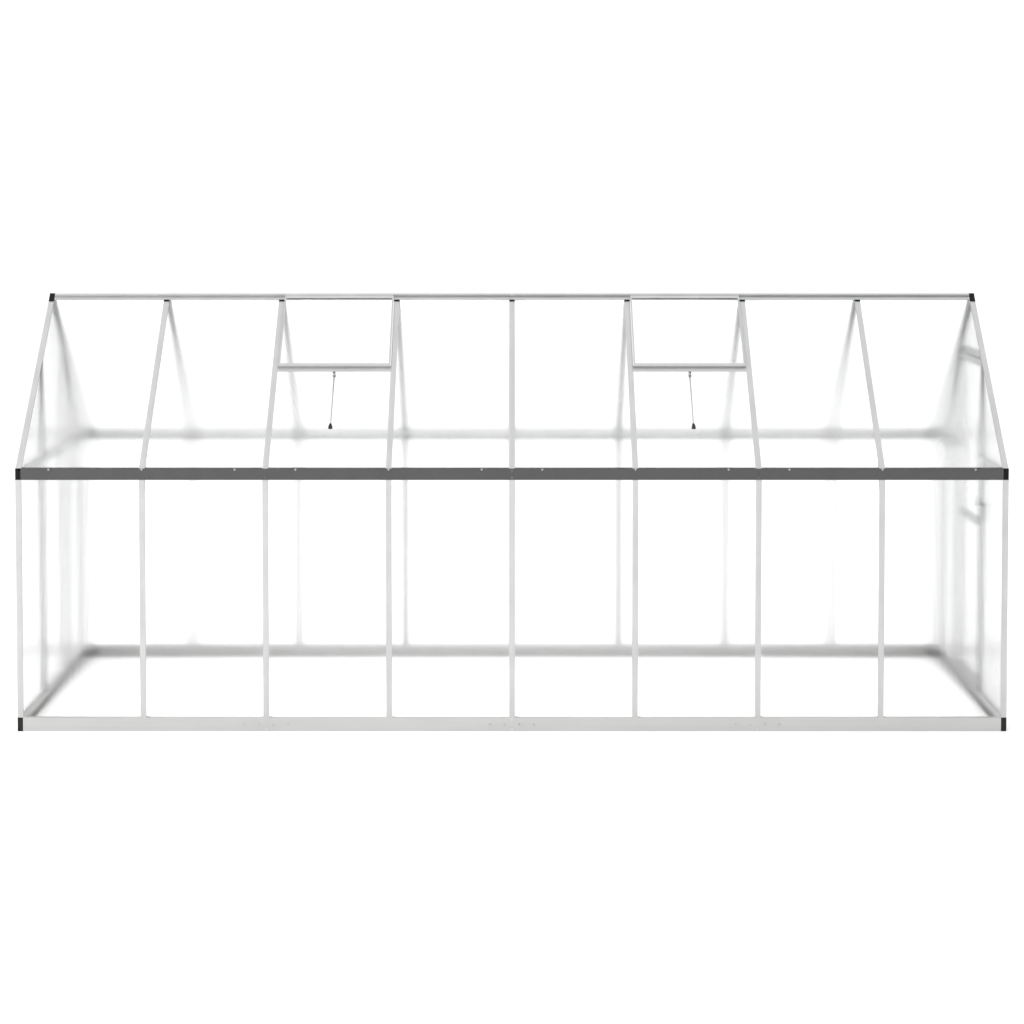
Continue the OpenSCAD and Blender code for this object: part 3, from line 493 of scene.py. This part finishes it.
# %% The shape of a head
# From the rim inwards: share of the radius, share of the rise, on the hexagon or not.
DOME_RINGS = ((1, 0, False), (0.93, 0.5, False), (0.76, 0.84, False), (0.5, 1, False),
              (0.36, 1, True), (0.36, 0.1, True))
HEXAGON_FLAT = 0.87  # a flat's distance from the middle, as a share of a corner's


def on_hexagon(turn):
    return HEXAGON_FLAT / math.cos((turn + math.pi / 6) % (math.pi / 3) - math.pi / 6)


def dome(bm, centre, outward, radius, rise, segments=24):
    rings = []
    for share, lift, hexagon in DOME_RINGS:
        ring = []
        for k in range(segments):
            turn = 2 * math.pi * k / segments
            reach = radius * share * (on_hexagon(turn) if hexagon else 1)
            ring.append(bm.verts.new((centre.x + reach * math.cos(turn), centre.y + outward * rise * lift,
                                      centre.z + reach * math.sin(turn))))
        rings.append(ring)
    for low, high in zip(rings, rings[1:]):
        for k in range(segments):
            j = (k + 1) % segments
            bm.faces.new((low[k], low[j], high[j], high[k])[::outward]).smooth = True
    bm.faces.new(rings[-1][::outward])


print("a head has", len(DOME_RINGS), "rings")

# %% [markdown]
# ## Finding the heads
#
# The frame holds all the bolts of one kind in a single piece. Their places
# could be written out again here, and would then be wrong if the house
# changed. Walking from corner to corner along the edges splits the piece into
# its bolts, and the outermost face of each bolt gives the middle of its head.

# %% Domed heads
def loose_parts(bm):
    reached = set()
    for start in bm.verts:
        if start in reached:
            continue
        part = [start]
        reached.add(start)
        for vert in part:
            for edge in vert.link_edges:
                near = edge.other_vert(vert)
                if near not in reached:
                    reached.add(near)
                    part.append(near)
        yield part


def dome_heads(node, radius, rise):
    source = bare_shape(node)
    bm = bmesh.new()
    count = 0
    for part in loose_parts(source):
        outward = 1 if part[0].co.y > 0 else -1
        face_y = max(v.co.y * outward for v in part) * outward
        rim = [v.co for v in part if abs(v.co.y - face_y) < 1e-5]
        centre = sum(rim, Vector()) / len(rim)
        dome(bm, centre, outward, radius, rise)
        count += 1
    source.free()
    piece = piece_from(bm, node + "_domes", zinc, "frame")
    print(node, count, "domed heads")


dome_heads("base_splice_bolts", radius=0.0056, rise=0.0016)
dome_heads("gutter_screws", radius=0.0042, rise=0.0014)

# %% [markdown]
# ## Gutters with a bare back
#
# A gutter is coated dark only where the weather reaches it. From indoors its
# back shows as the same bare bar as the studs and rafters. A mask in the
# finish could switch between the two, but a mask blurs at the corner. A copy
# of each gutter carries both finishes instead, and every face at its back that
# looks into the house takes the bare one.

# %% Two-finish gutters
BACK_SKIN = 0.0025  # the gutter's back wall is thinner than this

for node, indoors in (("gutter_front", 1), ("gutter_back", -1)):
    bm = bare_shape(node)
    join_flats(bm)
    back_y = max(v.co.y * indoors for v in bm.verts)
    for face in bm.faces:
        at_back = face.calc_center_median().y * indoors > back_y - BACK_SKIN
        face.material_index = int(at_back and face.normal.y * indoors > 0.5)
    gutter = piece_from(bm, node + "_two_finish", gutter_coat, "frame")
    gutter.data.materials.append(metal_long)
    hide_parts(node)
    print(gutter.name, sum(f.material_index for f in gutter.data.polygons), "bare faces")

# %% [markdown]
# ## The floor
#
# The house stands on a plain pale floor. A backdrop could curve up behind it,
# but a floor wide enough to reach the horizon melts into the white sky just as
# well, from every side. It is paint with the faintest clouds in it.

# %% Floor
FLOOR_REACH = 60

bm = bmesh.new()
bmesh.ops.create_grid(bm, x_segments=1, y_segments=1, size=FLOOR_REACH)
mesh = bpy.data.meshes.new("studio_floor")
bm.to_mesh(mesh)
bm.free()
floor_finish, tree, surface = new_finish("studio_floor_paint", Roughness=0.9)
place = place_in(tree)
air = use_group(tree, weather, Vector=place, Seed=30.0)
tree.links.new(tone(tree, air["Clouds"], (0.93, 0.93, 0.93), (0.95, 0.95, 0.95)), surface["Base Color"])
mesh.materials.append(floor_finish)
floor = bpy.data.objects.new("studio_floor", mesh)
bpy.context.collection.objects.link(floor)
print("floor", 2 * FLOOR_REACH, "metres wide")

# %% [markdown]
# ## Light
#
# Sheets that let light through look best in light from everywhere, so most of
# it is a white sky. Lamps alone would draw hard shadows of every bar. One
# large softbox high on the front left gives the bars a gentle side, and a weak
# lamp under the ridge makes up for the light that the sheets hold back from
# the indoor side of the rails. The plain view transform keeps white white.

# %% Light
scene = bpy.context.scene
scene.view_settings.view_transform = "Standard"
scene.world = bpy.data.worlds.new("studio_sky")
scene.world.use_nodes = True
sky = scene.world.node_tree.nodes["Background"].inputs
sky["Color"].default_value = (1, 1, 1, 1)
sky["Strength"].default_value = 1.35


def soft_lamp(name, place, wide, deep, watts, aim=None):
    lamp_data = bpy.data.lights.new(name, "AREA")
    lamp_data.shape = "RECTANGLE"
    lamp_data.size = wide
    lamp_data.size_y = deep
    lamp_data.energy = watts
    lamp = bpy.data.objects.new(name, lamp_data)
    lamp.location = place
    if aim:
        lamp.rotation_euler = (Vector(aim) - lamp.location).to_track_quat("-Z", "Y").to_euler()
    bpy.context.collection.objects.link(lamp)


soft_lamp("softbox", (-5, -7, 7), wide=7, deep=5, watts=500, aim=(0, 0, 0.8))
soft_lamp("fill_under_the_ridge", (0, 0, 1.6), wide=4.3, deep=1.0, watts=33)
print("sky and", len(bpy.data.lights), "lamps")

# %% [markdown]
# ## The camera
#
# A house is best seen with its uprights upright. A camera that looks down at
# it would make them lean together, so this one is almost level, and a shift
# of its picture plane brings the house back into view. It stands well back
# and a little above the ridge, with a long lens, so the far wall looks little
# smaller than the near one.

# %% Camera
LOOKS_DOWN = 3  # degrees below level

camera_data = bpy.data.cameras.new("camera")
camera_data.sensor_width = 36
camera_data.lens = 88.34
camera_data.shift_y = -0.1982
camera_data.clip_end = 200
camera = bpy.data.objects.new("camera", camera_data)
camera.location = (0, -12.896, 2.657)
camera.rotation_euler = (math.radians(90 - LOOKS_DOWN), 0, 0)
bpy.context.collection.objects.link(camera)
scene.camera = camera
print("camera", [round(v, 2) for v in camera.location], "lens", camera_data.lens)
